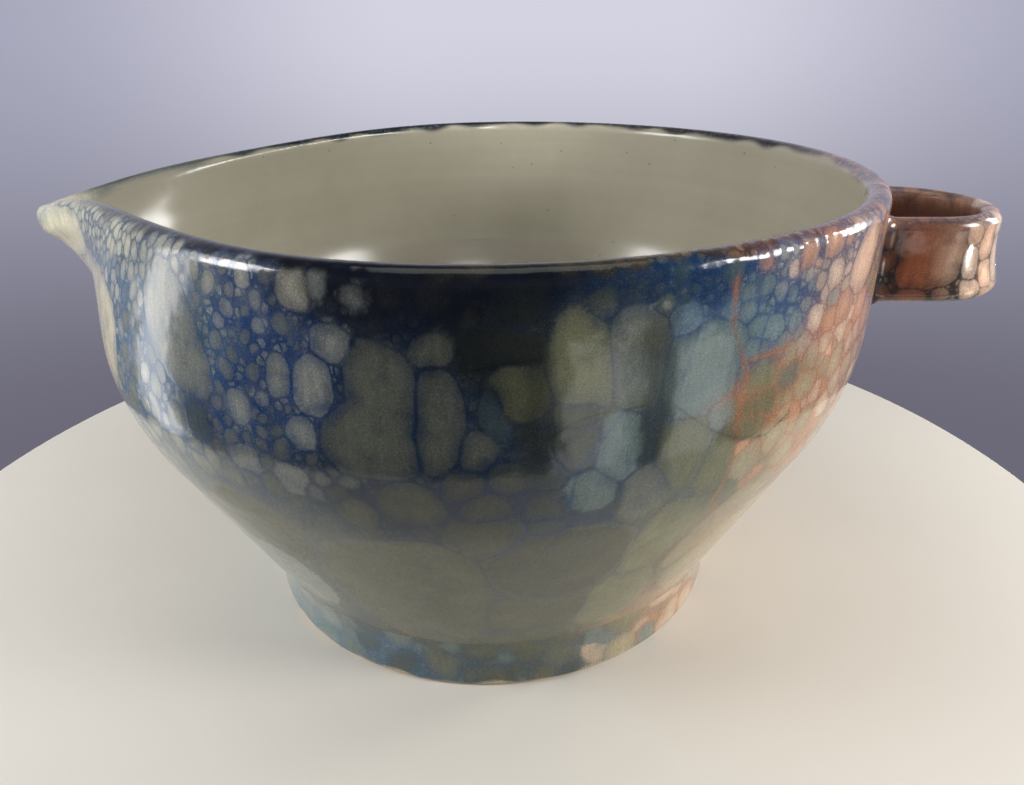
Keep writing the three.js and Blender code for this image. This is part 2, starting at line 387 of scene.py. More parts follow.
# A field of small bubbles: two corners, (around, along), the smallest and largest radius, how many are
# tried, the gap between them, their tints and how far they are stretched upwards
Field = namedtuple("Field", "low high smallest largest tries gap tints stretches",
                   defaults=((None,), (0.85, 1.35)))
FLAT = (0.5, 0.9)


def bubble_depth(bubble, across, up, wobble):
    """How deep inside a bubble a place is: below 0 outside it."""
    across = across - bubble.lean * up
    size = np.hypot(across, up) + 1e-6
    turn = np.arctan2(up * bubble.wide, across * bubble.tall)
    wave = 1 + wobble[2] * np.sin(2 * turn + wobble[0]) + wobble[2] * np.sin(3 * turn + wobble[1])
    wide = np.abs(2 * across / bubble.wide) ** bubble.power
    tall = np.abs(2 * up / bubble.tall) ** bubble.power
    share = (wide + tall + 1e-12) ** (1 / bubble.power) / wave
    return size / share - size


class Froth:
    """Bubbles on a surface that is unrolled into degrees around and millimetres along."""

    def __init__(self, seed, radius, bubbles=()):
        self.random = np.random.default_rng(seed)
        self.radius = radius
        self.bubbles = list(bubbles)

    def mirror(self, shift, change):
        """Repeats each bubble at the back, a little moved and changed in size."""
        for bubble in list(self.bubbles):
            move = self.random.uniform(-shift, shift, 2)
            grow = self.random.uniform(1 - change, 1 + change, 2)
            if bubble.joined:
                move, grow = last
            last = move, grow
            self.bubbles.append(bubble._replace(
                around=-bubble.around + move[0], along=bubble.along + move[1],
                wide=bubble.wide * grow[0], tall=bubble.tall * grow[1], lean=-bubble.lean))

    def clear(self, place, along, radius, gap):
        """True where a new bubble keeps off the others."""
        near = [b for b in self.bubbles if abs(b.along - along) < b.tall / 2 + radius + gap]
        for other in near:
            turn = (place - other.around + 180) % 360 - 180
            up = along - other.along
            across = math.radians(turn) * self.radius(other.along) - other.lean * up
            size = math.hypot(across, up) + 1e-6
            share = math.hypot(2 * across / other.wide, 2 * up / other.tall)
            if size * (1 - 1 / (share + 1e-6)) < radius + gap:
                return False
        return True

    def scatter(self, field, both_sides=True):
        """Fills a field with bubbles, the largest first."""
        spread = field.largest - field.smallest
        sizes = np.sort(field.smallest + spread * self.random.random(field.tries) ** 2)[::-1]
        for radius in sizes:
            place = self.random.uniform(field.low[0], field.high[0])
            along = self.random.uniform(field.low[1], field.high[1])
            stretch = self.random.uniform(*field.stretches)
            lean = self.random.uniform(-SMALL_LEAN, SMALL_LEAN)
            tint = field.tints[self.random.integers(len(field.tints))]
            side = self.random.choice((-1, 1)) if both_sides else 1
            if self.clear(side * place, along, radius, field.gap):
                size = 2 * radius
                self.bubbles.append(Bubble(side * place, along, size, size * stretch, tint, lean,
                                           SMALL_POWER))

    def dealt(self):
        """A channel for each bubble: the last one's if joined, or else the emptiest round it."""
        around, along, wide, tall = np.array([bubble[:4] for bubble in self.bubbles]).T
        size = np.maximum(wide, tall) / 2
        channel = np.zeros(len(size), int)
        for index in range(1, len(size)):
            turn = (around[:index] - around[index] + 180) % 360 - 180
            across = np.radians(turn) * self.radius(along[index])
            gap = np.hypot(across, along[:index] - along[index]) - size[:index] - size[index]
            clear = [gap[channel[:index] == number].min(initial=FAR_OFF) for number in range(CHANNELS)]
            channel[index] = channel[index - 1] if self.bubbles[index].joined else np.argmax(clear)
        return channel

    def read(self, places, along):
        """For each place: its depth in the bubbles of each channel, and which bubble is its own."""
        order = np.argsort(along)
        levels = along[order]
        fields = np.full((CHANNELS, len(along)), FAR)
        owner = np.zeros(len(along), int)
        for index, (bubble, channel) in enumerate(zip(self.bubbles, self.dealt())):
            size = WOBBLE if bubble.tint is None else TINTED_WOBBLE
            wobble = (*self.random.uniform(0, 2 * math.pi, 2), size)
            reach = bubble.tall / 2 + REACH
            low, high = np.searchsorted(levels, [bubble.along - reach, bubble.along + reach])
            near = order[low:high]
            turn = (places[near] - bubble.around + 180) % 360 - 180
            across = np.radians(turn) * self.radius(bubble.along)
            close = np.abs(across) < bubble.wide / 2 + REACH
            near = near[close]
            depth = bubble_depth(bubble, across[close], along[near] - bubble.along, wobble)
            owner[near[depth > fields[:, near].max(axis=0)]] = index
            fields[channel, near] = np.maximum(fields[channel, near], depth)
        return fields, owner


# Washes: where a colour of the glaze lies, in degrees from the spout and millimetres along the wall, how
# far it spreads, its cells and walls, how thick the walls are, how far bubbles swell past their outline,
# how blurred the walls are, how much fine froth fills them and how strong they show
Wash = namedtuple("Wash", "around along across tall cell wall thick swell blur froth strength",
                  defaults=(0, 0, 1, 0, 0))
SMEARED = (0.8, 0.4, 1, 0.3, 0)
BLURRED = (0.8, 0.6, 1, 0.4, 0.4)
BOWL_WASHES = rows_of(
    Wash,
    (0, 96, 13, 45, CREAM, STEEL, 0.4, 1.5, 0.3, 0.3, 0.4),
    (25, 86, 16, 18, CREAM, TEAL, 0.5, 0.4, 0.3, 0.7, 0.8),
    (32, 108, 24, 5, CREAM, SLATE, 0.5, 0.2, 0.25, 0.6, 1),
    (25, 102, 10, 4, STEEL, TEAL, 0.5, 0.2, 0.3, 0.8, 0.9),
    (47, 84, 6, 18, IVORY, TEAL, 0.5, 0, 0.25, 0.9, 1),
    (58, 96, 5, 11, PEARL, TEAL, 0.6, 0, 0.25, 0.8, 1),
    (54, 77, 5, 8, IVORY, TEAL, 0.6, 0, 0.25, 0.9, 1),
    (69, 92, 7, 20, STONE, COBALT, 0.6, -0.1, 0.25, 1, 1),
    (84, 85, 8, 14, GREY, NAVY, 0.9, 0, 0.3, 0.6, 1),
    (90, 109, 13, 7, NIGHT, INK, 1, -0.3, 0.8, 0.15, 1),
    (111, 107, 7, 6, SLATE, HARBOUR, 0.8, -0.3, 0.6, 0.8, 1),
    (96.5, 93, 4, 11, SHADOW, NIGHT, 0.8, 0.8, 0.4, 0.3, 0.6),
    (88, 66, 12, 9, MOSS, NAVY, 0.9, 0.3, 0.5, 0.6, 0.9),
    (104, 94, 5, 11, SAGE, HARBOUR, 0.4, 2, 0.35, 0.2, 0.5),
    (106, 74, 8, 10, SLATE, HARBOUR, 0.5, 2, 0.5, 0.3, 0.5),
    (116, 90, 4.5, 10, MIST, DENIM, 0.4, 1.5, 0.4, 0.3, 0.5),
    (117, 72, 5, 10, SAGE, SLATE, 0.5, 2, 0.4, 0.3, 0.45),
    (125, 101, 6.5, 9, MIST, DENIM, 0.6, 0, 0.3, 1, 0.8),
    (125, 80, 4.5, 8, SAGE, RUST, 0.4, 1.6, 0.3, 0.4, 0.6),
    (137, 105, 9, 8, PEACH, DUSK, 0.6, 0.1, 0.25, 0.8, 0.9),
    (138, 90, 8, 10, PEACH, RUST, 0.5, 0.6, 0.3, 0.8, 0.7),
    (134, 75, 6, 7, SAND, RUST, 0.5, 1, 0.35, 0.8, 0.6),
    (166, 92, 20, 24, SALMON, DUSK, 0.6, 0.2, 0.25, 0.7, 0.9),
    (35, 38, 25, 24, PEARL, STEEL, 0.8, 2.5, 1, 0.3, 0.5),
    (66, 36, 14, 27, PUTTY, SLATE, 0.6, 2.8, 0.5, 0.2, 0.5),
    (86, 14, 9, 16, PUTTY, SLATE, 0.6, 2.8, 0.6, 0.2, 0.4),
    (88, 46, 12, 12, PUTTY, NAVY, 0.5, 2.8, 0.4, 0.2, 0.55),
    (102, 20, 9, 12, PUTTY, SLATE, 0.5, 2.8, 0.5, 0.2, 0.5),
    (104, 48, 8, 14, PUTTY, DENIM, 0.5, 2.8, 0.35, 0.2, 0.6),
    (118, 42, 8, 22, SAGE, SLATE, 0.5, 2.8, 0.5, 0.3, 0.45),
    (146, 34, 20, 30, SAND, RUST, 0.7, 2, 0.8, 0.2, 0.5),
)
RIM_WASHES = rows_of(
    Wash,
    (0, 0, 18, 1, CREAM, IVORY),
    (40, 0, 16, 1, STONE, NIGHT),
    (76, 0, 18, 1, NIGHT, INK),
    (99, 0, 10, 1, OLIVE, SHADOW),
    (113, 0, 9, 1, GOLD, SHADOW),
    (128, 0, 8, 1, RUST, MAROON),
    (150, 0, 20, 1, SALMON, DUSK),
    (180, 0, 14, 1, SALMON, DUSK),
)
FOOT_WASHES = rows_of(
    Wash,
    (30, -11, 28, 8, MIST, STEEL, 0.8, 0.6, 0.8, 0.6, 0.7),
    (74, -11, 16, 8, STONE, TEAL, 0.8, 0.6, 0.8, 0.8, 0.85),
    (99, -11, 12, 8, PUTTY, SLATE, 0.8, 0.6, 0.8, 0.7, 0.85),
    (118, -11, 8, 8, STONE, MIST, 0.8, 0.6, 0.6, 0.6, 0.7),
    (146, -11, 24, 8, SAND, RUST, 0.8, 0.6, 0.6, 0.6, 0.6),
    (40, 0, 30, 4, PEARL, SLATE, *BLURRED),
    (90, 0, 26, 4, PUTTY, SLATE, *BLURRED),
    (118, 0, 10, 4, SAGE, SLATE, *BLURRED),
    (150, 0, 26, 4, SAND, RUST, *BLURRED),
)
HANDLE_WASHES = rows_of(
    Wash,
    (98, 25, 36, 12, TERRACOTTA, NIGHT, 0.5, 0.4, 0.35, 0.6, 0.9),
    (20, 25, 50, 14, PEACH, NIGHT, 0.35, 0.5, 0.25, 0.6, 0.65),
    # The row at 146 paints shade in the recess where the strap's root meets the bowl's wall.
    (146, 25, 16, 20, SHADOW, NIGHT, 0.6, 0.2, 0.6, 0.8, 0.9),
    (60, 37, 90, 4, SALMON, DUSK, 0.4, 0.2, 0.4, 0.8, 0.8),
    (60, 0, 90, 7, MAROON, DUSK, *SMEARED),
    (60, 46, 90, 5, MAROON, DUSK, *SMEARED),
    (60, 50, 90, 7, MAROON, DUSK, *SMEARED),
    (155, 0, 20, 9, SAGE, MAROON, *SMEARED),
    (155, 50, 20, 9, SAGE, MAROON, *SMEARED),
)
HANDLE_BUBBLES = rows_of(
    Bubble,
    (-98, 27, 16, 16.5, TERRACOTTA, 0, 4), (-70, 32, 4.6, 5, BLUSH), (-70, 24.5, 4.4, 8, PEACH),
    (-69, 17.5, 5, 5, PEACH), (-55, 29.5, 4.6, 9, BLUSH), (-54, 21, 4.4, 7, BLUSH),
    (-40, 34, 5.4, 7, PEACH), (-39, 24, 5, 12, PEACH), (-22, 29, 5, 11, SALMON),
    (-21, 19, 5, 8, PEACH), (-5, 26, 5, 13, PEACH), (-6, 37, 7, 7, PEACH),
    (12, 28, 6, 12, SALMON),
)

# Painted sheen, a pale soft reflection and light on the handle's front, as (around, along), and how much
# paler its end is painted where light falls on it
PAINTED_SHEEN = 0.6
SHEEN_PLACE = (-82, 25)
SHEEN_SPREAD = (11, 9)
PAINTED_END_LIGHT = 0.2
END_LIGHT_EDGE = (-80, -65)

# Larger bubbles of the outer coat
NAMED_BUBBLES = rows_of(
    Bubble,
    (24, 85, 66, 30, CREAM), (11, 102, 27, 17, CREAM), (57, 95.5, 20, 23, PEARL, -0.42),
    (60.6, 78.5, 6, 8, SLATE), (54.8, 86, 3.4, 4.5, PEARL), (53.2, 82.3, 3.4, 5.5, PEARL),
    (56.7, 77.5, 5, 5.5, PEARL), (52, 77, 4, 6, PEARL), (65.5, 99.5, 3, 3, PEARL),
    (66.7, 102, 3.6, 3.4, PEARL), (69.2, 108.3, 4, 4.5, IVORY), (70.8, 104.5, 3, 3.4, PEARL),
    (70.8, 100, 3, 3, PEARL), (75.3, 107.3, 6.5, 8, IVORY), (78, 108.8, 4, 6, PEARL),
    (81.5, 106.8, 4.4, 4.4, PEARL), (79, 98.5, 8.5, 6.5, PEARL), (72.8, 91.5, 5, 8.5, PEARL),
    (76.6, 90.5, 7.6, 12, PEARL), (74.7, 81, 5.4, 6.8, PEARL), (67.3, 84, 5.2, 6.8, PEARL),
    (70.5, 86.5, 2.8, 3, PEARL), (67, 73, 6.5, 5.5, PEARL), (72.5, 70.5, 6, 6, PEARL),
    (83.5, 89.7, 12.4, 20, GREY, 0, 3), (82, 80.4, 17.5, 15, GREY, 0, 2.5, True), (88.9, 85, 9, 19.5, GREY),
    (88.4, 98.2, 6.5, 5.5, GREY), (95, 98.5, 13, 6.5, NIGHT), (96.3, 91, 7.5, 10.5, PUTTY),
    (94.3, 86.5, 4.5, 9, SLATE), (92.6, 79.8, 6.4, 7.6, GREY), (91, 72.4, 6.4, 6.2, MOSS),
    (95.6, 74, 6.6, 5.6, MOSS), (85.4, 67.5, 11.5, 9.5, MOSS), (93, 65.5, 8, 8, MOSS),
    (97, 106.5, 9, 7, NIGHT), (89, 107, 6, 5.5, NIGHT), (102.6, 96, 9, 17.5, SAGE, -0.16),
    (108.2, 95.5, 9.4, 18, STONE, -0.1), (102.4, 85.6, 5, 4.6, PUTTY), (102.6, 79.5, 7, 8.5, MOSS),
    (106.6, 78.5, 7.4, 12, MIST), (104, 69, 8, 8, MIST), (115.6, 91.5, 15.5, 16.5, MIST),
    (113, 101, 5, 5, STEEL), (118.3, 81, 4, 4.4, MIST), (114.3, 74.5, 9.6, 12.5, SAGE),
    (119.3, 70, 6, 13, SAGE), (110.3, 66, 8, 12, STONE), (124.3, 96, 4.6, 4.6, MIST),
    (127.6, 96, 3.4, 3.4, MIST), (122.4, 104.5, 3.6, 3.4, MIST), (126.4, 101.5, 3, 3, MIST),
    (126, 106.3, 3, 3, PEACH), (121.7, 109, 3.6, 3.4, SALMON), (128.3, 108.5, 5.4, 5.4, SALMON),
    (133, 109.3, 7.6, 5.6, SALMON), (131.2, 102.3, 3, 3.4, PEACH), (134.2, 102.5, 5.6, 5.6, PEACH),
    (134.7, 97.8, 3.8, 3.6, MIST), (131.3, 95, 4.4, 5.2, PEACH), (134.3, 93.4, 4.6, 4.6, SALMON),
    (138.2, 94.5, 6.6, 6.4, SALMON), (134.5, 88.4, 4.2, 3.8, PEACH), (138.3, 89, 4.2, 3.6, PEACH),
    (142.5, 103, 13, 14, BLUSH, 0.2), (123.5, 87, 6.4, 5.4, SAGE), (123.9, 80.6, 6.4, 4.8, SAGE),
    (123, 76.2, 5.4, 4.6, SAGE), (128, 84.6, 4.4, 4.2, STONE), (127.6, 71.5, 6.6, 6, SAND),
    (124, 67, 6, 9, SAND), (102.5, 43.5, 25, 30, MOSS), (81, 28, 32, 52, PUTTY, -0.05),
    (93, 58, 13, 13, MOSS), (63, 48, 20, 24, PUTTY), (59, 22, 16, 26, PEARL),
    (115.5, 46, 11, 26, SAGE, 0.1), (101, 18, 22, 16, PUTTY), (101, 3, 16, 9, PUTTY),
    (114, 19, 15, 24, SAGE), (127, 44, 16, 30, SAND, 0.3),
)

# Froth between them, on the foot and on the handle
COAT_FIELDS = rows_of(
    Field,
    ((11, 104), (36, 112), 0.9, 1.5, 1200, 0.2, (CREAM, CREAM, IVORY), FLAT),
    ((36, 105), (58, 111.5), 0.9, 1.6, 700, 0.2, (CREAM, CREAM, IVORY)),
    ((13, 96), (36, 105), 0.8, 1.5, 1000, 0.25, (None, IVORY, STEEL), FLAT),
    ((36, 96), (50, 106), 0.8, 1.6, 700, 0.3, (None, IVORY, STEEL)),
    ((40, 56), (53, 104), 0.8, 2.2, 700, 0.35, (None, IVORY, PEARL, SAGE)),
    ((4, 56), (44, 71), 1, 2.6, 500, 0.4, (None, IVORY, PEARL)),
    ((51, 68), (80, 110), 0.8, 1.9, 1200, 0.5, (None, None, STONE)),
    ((78, 60), (100, 76), 1.6, 4.5, 200, 0.6),
    ((80, 103), (119, 110), 1.2, 3, 120, 1.2),
    ((98, 60), (121, 110), 4, 8, 200, 0),
    ((118, 88), (131, 110), 0.8, 1.8, 700, 0.35, (None, None, MIST, STEEL)),
    ((130, 86), (180, 111), 0.9, 3.6, 1800, 0.25, (None, PEACH, SALMON, SAND, BLUSH)),
    ((122, 60), (180, 88), 0.8, 2.9, 1800, 0.25, (None, None, PEACH, SAND, SALMON)),
    ((0, 4), (180, 60), 8, 17, 400, 0),
)
FOOT_FIELDS = rows_of(
    Field,
    ((0, -16), (60, 1), 1, 4.5, 500, 0.1, (None, None, MIST, PEARL)),
    ((58, -16), (112, 1), 1, 4.5, 500, 0.1, (None, None, None, GREY, MIST, OLIVE, SLATE)),
    ((108, -16), (180, 1), 1.2, 5, 500, 0.1, (None, PEACH, MIST, SAND)),
)
HANDLE_FIELD = Field((-170, 0), (170, 50), 1.2, 7, 1200, 0.2)

# Fine lines that cross the bubbles, as places (around, along), their colour and half their width
Seam = namedtuple("Seam", "places colour half")
SEAMS = rows_of(
    Seam,
    ([(118.2, 107), (118.5, 98), (120.4, 91), (121.4, 87), (121, 76), (121.6, 66), (121, 56)],
     RUST, 0.22),
    ([(121.4, 91), (127, 91)], RUST, 0.3),
    ([(99.4, 81.5), (101.5, 84), (104.2, 85.6), (109, 86)], NIGHT, 0.22),
    ([(112.8, 84.5), (117, 78.5), (121, 74.4), (126, 72.6), (129, 75.5)], NIGHT, 0.22),
    ([(91.5, 94.5), (95, 96), (99, 96.6)], NIGHT, 0.25),
    ([(106.6, 85), (104.5, 79.5), (102.4, 74), (102, 66)], DENIM, 0.35),
    ([(114.4, 99), (113.6, 93), (112.7, 87)], DENIM, 0.35),
    ([(73, 64), (69.5, 48), (66.5, 38), (60, 36)], SLATE, 0.3),
    ([(113, 44), (117, 51), (121.5, 56), (126, 63)], SLATE, 0.3),
    ([(122, 56), (126, 42), (132, 30)], RUST, 0.3),
)

# Dark reflections painted on the front as bands shaped like ragged runs of the glaze: middle, half width,
# lowest and highest place along the wall, and strength
DarkBand = namedtuple("DarkBand", "around half low high strength")
DARK_REFLECTIONS = [DarkBand(60.5, 3.0, 73, 108, 0.3), DarkBand(98.4, 1.5, 72, 104, 0.5), DarkBand(110.5, 1.7, 74, 102, 0.5)]
BAND_SIDE = (0.6, 1.4)
BAND_START = (-12, 8)
BAND_END = (-3, 3)

# Lumps along the rim: their height, how much higher they are along one part, and their lower edge
LUMP_HEIGHT = 0.02
LUMP_GROWTH = 0.07
LUMPY_PART = ((104, 114), (134, 142))
LUMP_EDGE = (-5, -2)

# Rim: how dark its back is and from where to where, where its colours start, and where the liner laps it
BACK_SHADE = 0.85
BACK_PART = ((1, 6), (160, 176))
RIM_EDGE = (1.5, 3.5)
LAP_EDGE = (6.5, 8.5)

# Bead of glaze that stands out from the wall, at a place (around, along)
BEAD_PLACE = (109.8, 105.3)
BEAD_RADIUS = 2.6
BEAD_HEIGHT = 0.3


def blend(first, second, share):
    return first * (1 - share) + second * share


def washed(washes, places, along, waver=1):
    """Blends the washes at each place: columns for cell, wall, thickness, swell and the walls' look."""
    folded = np.abs(places)
    sway = 2.5 * np.sin(along / 6 + places / 9) + 1.2 * np.sin(along / 2.7 - places / 4)
    drift = folded + waver * sway
    level = along + waver * (1.6 * np.sin(places / 3.1) + 1.1 * np.sin(places / 1.3 + 1))
    weights = np.array([np.exp(-((drift - w.around) / w.across) ** 2 - ((level - w.along) / w.tall) ** 2)
                        for w in washes])
    weights /= weights.sum(axis=0) + 1e-200
    values = np.array([[*w.cell, *w.wall, w.thick, w.swell, w.blur, w.froth, w.strength]
                       for w in washes])
    return weights.T @ values


SEAM_REACH = 3
SEAM_SHARE = 0.9
SEAM_SPREAD = 0.7
TINT_SHARE = 0.75
BRIGHTNESS = (0.88, 1.15)
PALEST = 0.92
NO_TINT = np.full(3, np.nan)


def seam_distance(seam, folded, along):
    """Millimetres from each place to a seam, below 0 on one side of it."""
    nearest = np.full(len(along), FAR_OFF)
    for (first, low), (second, high) in zip(seam.places, seam.places[1:]):
        scale = math.radians(1) * skin_radius((low + high) / 2)
        start = np.array([first * scale, low])
        leg = np.array([second * scale, high]) - start
        off = np.column_stack([folded * scale, along]) - start
        share = np.clip(off @ leg / (leg @ leg), 0, 1)
        away = np.hypot(*(off - share[:, None] * leg).T)
        side = np.where(off[:, 0] * leg[1] < off[:, 1] * leg[0], -1, 1)
        nearest = np.where(away < np.abs(nearest), away * side, nearest)
    return nearest


def glaze(mesh, froth, washes, places, along, edit=None, waver=1):
    """Gives a mesh the bubbles and colours that its material draws."""
    fields, owner = froth.read(places, along)
    look = washed(washes, places, along, waver)
    cell, wall, shape, style = np.split(look, [3, 6, 9], axis=1)
    tints = np.array([NO_TINT if bubble.tint is None else bubble.tint for bubble in froth.bubbles])
    named = np.isfinite(tints[owner, 0]) & (fields.max(axis=0) > -1)
    share = np.where(named, TINT_SHARE, 0)[:, None]
    cell = blend(cell, np.where(named[:, None], tints[owner], 0), share)
    bright = froth.random.uniform(*BRIGHTNESS, len(froth.bubbles))
    cell = np.minimum(cell * bright[owner][:, None], PALEST)
    if edit:
        cell, wall = edit(cell, wall)
    layers = {"bubbles_a": fields[:3].T, "bubbles_b": fields[3:].T, "cell": cell, "wall": wall,
              "shape": shape, "froth": style[:, 0], "strength": style[:, 1]}
    for name, values in layers.items():
        keep(mesh, name, values)


# Nodes

GLAZE_BUMP = 0.12
CLAY_BUMP = 0.15


class Value:
    """A number that varies over a surface."""

    def __init__(self, finish, socket):
        self.finish = finish
        self.socket = socket

    def __add__(self, other):
        return self.finish.math("ADD", self, other)

    __radd__ = __add__

    def __sub__(self, other):
        return self.finish.math("SUBTRACT", self, other)

    def __rsub__(self, other):
        return self.finish.math("SUBTRACT", other, self)

    def __mul__(self, other):
        return self.finish.math("MULTIPLY", self, other)

    __rmul__ = __mul__

    def __truediv__(self, other):
        return self.finish.math("DIVIDE", self, other)

    def __rtruediv__(self, other):
        return self.finish.math("DIVIDE", other, self)


class Finish:
    """A material and its nodes."""

    def __init__(self, name):
        self.material = bpy.data.materials.new(name)
        self.material.use_nodes = True
        self.tree = self.material.node_tree
        self.shader = self.tree.nodes["Principled BSDF"]
        self.place = self.node("TexCoord", {}, {}, "Object")

    def node(self, kind, settings, inputs, output=0):
        made = self.tree.nodes.new("ShaderNode" + kind)
        for name, setting in settings.items():
            setattr(made, name, setting)
        for name, value in inputs.items():
            self.feed(made.inputs[name], value)
        return Value(self, made.outputs[output])

    def feed(self, socket, value):
        if isinstance(value, Value):
            self.tree.links.new(value.socket, socket)
        else:
            socket.default_value = solid(value) if isinstance(value, np.ndarray) else value

    def set(self, name, value):
        self.feed(self.shader.inputs[name], value)

    def math(self, operation, first, second=0.0):
        return self.node("Math", {"operation": operation}, {0: first, 1: second})

    def read(self, name, output="Fac"):
        return self.node("Attribute", {"attribute_name": name}, {}, output)

    def split(self, vector):
        return [self.node("SeparateXYZ", {}, {0: vector}, axis) for axis in "XYZ"]

    def read_three(self, name):
        """The three numbers that a point keeps under one name."""
        return self.split(self.read(name, "Vector"))

    def mix(self, share, first, second, blend="MIX"):
        settings = {"data_type": "RGBA", "blend_type": blend}
        return self.node("Mix", settings, {0: share, 6: first, 7: second}, 2)

    def ease(self, value, start, end):
        settings = {"interpolation_type": "SMOOTHSTEP"}
        return self.node("MapRange", settings, {"Value": value, "From Min": start, "From Max": end})

    def noise(self, size, detail=2.0, place=None):
        inputs = {"Vector": place or self.place, "Scale": 1 / (size * MM), "Detail": detail}
        return self.node("TexNoise", {}, inputs)

    def cells(self, size, feature="F1"):
        inputs = {"Vector": self.place, "Scale": 1 / (size * MM)}
        return self.node("TexVoronoi", {"feature": feature}, inputs, "Distance")

    def stretched(self, across, along):
        """Places scaled across and along the bowl's axis."""
        return self.node("Mapping", {}, {"Vector": self.place, "Scale": (across, across, along)})

    def coat(self, colour, roughness, height, depth):
        """Gives the material its look, with bumps of a depth."""
        self.set("Base Color", colour)
        self.set("Roughness", roughness)
        inputs = {"Height": height, "Distance": depth * MM, "Strength": 1.0}
        self.set("Normal", self.node("Bump", {}, inputs))
        return self.material


def bubble_depth_in(finish):
    """Depth inside the nearest bubble, below 0 in the walls between bubbles."""
    thick, swell, blur = finish.read_three("shape")
    fields = finish.read_three("bubbles_a") + finish.read_three("bubbles_b")
    best, second = fields[0], FAR
    for field in fields[1:]:
        second = finish.math("MAXIMUM", second, finish.math("MINIMUM", best, field))
        best = finish.math("MAXIMUM", best, field)
    return finish.math("MINIMUM", best + swell, (best - second - thick) / 2), blur


def seam_line(finish):
    """1 on a seam, 0 off it."""
    side, ahead, half = finish.read_three("seam")
    away = finish.math("ABSOLUTE", side) * (SEAM_REACH / math.pi)
    return (1 - finish.ease(away / half, 0.5, 1.5)) * finish.ease(ahead, 0.2, 0.7)


def bubble_finish(name):
    """Glossy glaze whose bubbles and colours each point of the piece keeps."""
    finish = Finish(name)
    cell = finish.read("cell", "Vector")
    wall = finish.read("wall", "Vector")
    froth = finish.read("froth")
    strength = finish.read("strength")
    ragged = finish.noise(2.2)
    broad = finish.noise(9)
    patch = finish.noise(5, 3.0)
    grain = finish.noise(0.34)
    runs = finish.noise(1.1, 3.0, finish.stretched(1, 0.12))
    depth, blur = bubble_depth_in(finish)
    depth = depth + (ragged - 0.5) * 0.5
    inside = finish.ease(depth / blur, -1.0, 1.0)
    outline = finish.ease(depth, -0.7, -0.2)
    halo = 1 - finish.ease(depth, 0.0, 3.2)
    fine_edge = finish.ease(finish.cells(2.2, "DISTANCE_TO_EDGE"), 0.05, 0.16)
    fine_cell = fine_edge * (1 - finish.ease(finish.cells(2.2), 0.32, 0.52))
    pale = finish.mix(0.6, wall, cell)
    matrix = finish.mix(fine_cell * froth * (1 - outline), wall, pale)
    cloud = finish.ease(patch, 0.45, 0.8) * 0.45
    filled = finish.mix((halo * 0.45 + cloud) * strength, cell, wall)
    shown = finish.ease(patch, 0.1, 0.62) * strength
    bubbled = finish.mix((1 - inside) * shown, filled, matrix)
    colour = finish.mix(seam_line(finish) * shown * 0.7, bubbled, wall)
    speck = finish.ease(grain, 0.52, 0.75) * (0.25 + (1 - inside) * 0.5) * shown
    light = 0.88 + (grain - 0.5) * 0.9 + speck + (broad - 0.5) * 0.4 + (runs - 0.5) * 0.4
    grey = finish.node("CombineColor", {}, {0: light, 1: light, 2: light})
    glazed = finish.mix(1.0, colour, grey, "MULTIPLY")
    roughness = 0.08 + 0.08 * grain + 0.08 * froth * (1 - inside)
    height = broad * 2.0 + inside * 0.06 + grain * 0.04
    lap = finish.read("lap")
    liner_colour, liner_roughness, liner_height = liner_look(finish)
    lapped = finish.mix(lap, glazed, liner_colour)
    lapped_roughness = roughness + (liner_roughness - roughness) * lap
    return finish.coat(lapped, lapped_roughness, height + (liner_height - height) * lap, GLAZE_BUMP)


def liner_look(finish):
    """Colour, roughness and height of the plain warm grey glaze, with faint throwing rings and pinholes."""
    broad = finish.noise(26, 3.0)
    cloud = finish.noise(5, 4.0)
    grain = finish.noise(0.5)
    rings = finish.noise(3.2, 2.0, finish.stretched(0.02, 1))
    pale = finish.mix(broad, tone(164, 160, 141), tone(182, 178, 161))
    ringed = finish.mix((rings - 0.4) * 0.35, pale, tone(144, 140, 124))
    clouded = finish.mix((cloud - 0.45) * 0.4, ringed, tone(188, 180, 161))
    pinhole = 1 - finish.ease(finish.cells(9), 0.03, 0.06)
    colour = finish.mix(pinhole * 0.5, clouded, tone(98, 88, 70))
    return colour, 0.16 + 0.1 * grain, rings * 0.25 + broad * 1.0 + grain * 0.04


def liner_finish():
    finish = Finish("plain_liner_glaze")
    return finish.coat(*liner_look(finish), GLAZE_BUMP)


def stoneware_finish():
    """Bare fired clay, buff and speckled."""
    finish = Finish("bare_stoneware")
    broad = finish.noise(14, 3.0)
    grain = finish.noise(0.6, 4.0)
    speck = 1 - finish.ease(finish.cells(2.2), 0.1, 0.2)
    clay = finish.mix(broad, tone(190, 170, 138), tone(212, 196, 166))
    grainy = finish.mix(grain * 0.4, clay, tone(170, 148, 116))
    speckled = finish.mix(speck * 0.5, grainy, tone(110, 84, 60))
    return finish.coat(speckled, 0.75 + 0.2 * grain, grain, CLAY_BUMP)


# Pieces

def dressed(piece, material, slot, *nodes):
    piece.data.materials.append(material)
    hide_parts(*nodes)


def skin_radius(along):
    return skin(max(0, along)).x


